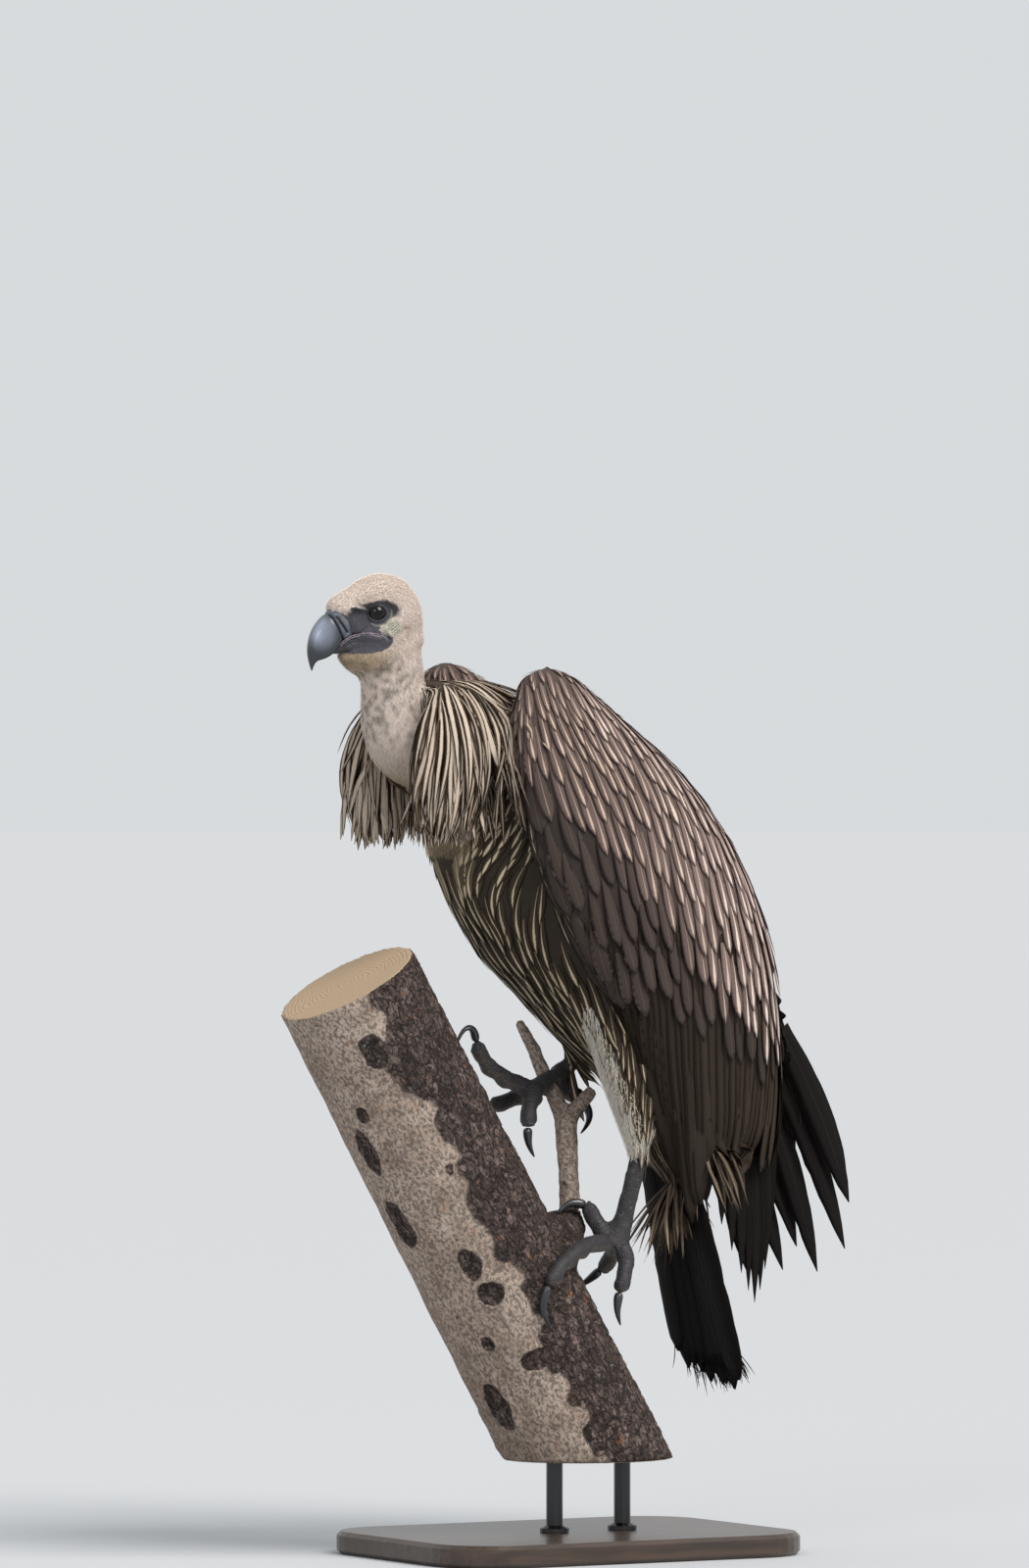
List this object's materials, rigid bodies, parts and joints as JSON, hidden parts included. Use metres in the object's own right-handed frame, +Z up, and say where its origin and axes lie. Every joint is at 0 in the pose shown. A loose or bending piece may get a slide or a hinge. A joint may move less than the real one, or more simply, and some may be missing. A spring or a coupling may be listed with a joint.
{
  "type": "white-backed vulture perched model",
  "caption": "Life-size still model of a young white-backed vulture, wings folded, gripping a leaning cut length of tree trunk held by rods on a flat base.",
  "frame": {"origin": "centre of the stand base's underside, on the surface it rests on", "axes": "+Z up; -X the way the bird faces and the bill points; +Y the bird's right side"},
  "size_m": [0.6516, 0.3, 0.949],
  "materials": {
    "down": "short cream-buff plush down with darker flecks",
    "plumage": "brown body feathers with thin pale shaft streaks",
    "coverts": "overlapping brown wing coverts, pale-streaked towards the back",
    "ruff": "long pointed feathers, cream centres and brown edges",
    "flight_feathers": "stiff blackish-brown flight feathers with a slight sheen",
    "horn": "smooth slate-black horn and cere, glossy",
    "talon": "glossy black claws",
    "scales": "dark grey skin covered in small net-like scales",
    "eye": "very dark brown wet eye",
    "bark": "weathered pinkish-grey bark with dark cracked plates",
    "stand_wood": "dark stained plain wood, satin",
    "stand_steel": "satin black painted steel"
  },
  "bodies": {
    "root": {"stand_base": "stand_wood", "stand_rod_front": "stand_steel", "stand_rod_back": "stand_steel", "perch_trunk": "bark", "perch_branch": "bark", "breast": "plumage", "belly": "plumage", "bill_upper": "horn", "cere": "horn", "bill_lower": "horn", "eye_left": "eye", "eye_right": "eye", "head": "down", "neck_upper": "down", "neck_lower": "down", "wing_left_arm": "coverts", "wing_left_secondaries": "flight_feathers", "ruff_left": "ruff", "thigh_left": "plumage", "wing_right_arm": "coverts", "wing_right_secondaries": "flight_feathers", "ruff_right": "ruff", "thigh_right": "plumage", "wing_left_primaries": "flight_feathers", "wing_right_primaries": "flight_feathers", "tail": "flight_feathers", "shank_left": "scales", "toe_left_1": "scales", "claw_left_1": "talon", "toe_left_2": "scales", "claw_left_2": "talon", "toe_left_3": "scales", "claw_left_3": "talon", "toe_left_4": "scales", "claw_left_4": "talon", "shank_right": "scales", "toe_right_1": "scales", "claw_right_1": "talon", "toe_right_2": "scales", "claw_right_2": "talon", "toe_right_3": "scales", "claw_right_3": "talon", "toe_right_4": "scales", "claw_right_4": "talon"}
  },
  "joints": []
}
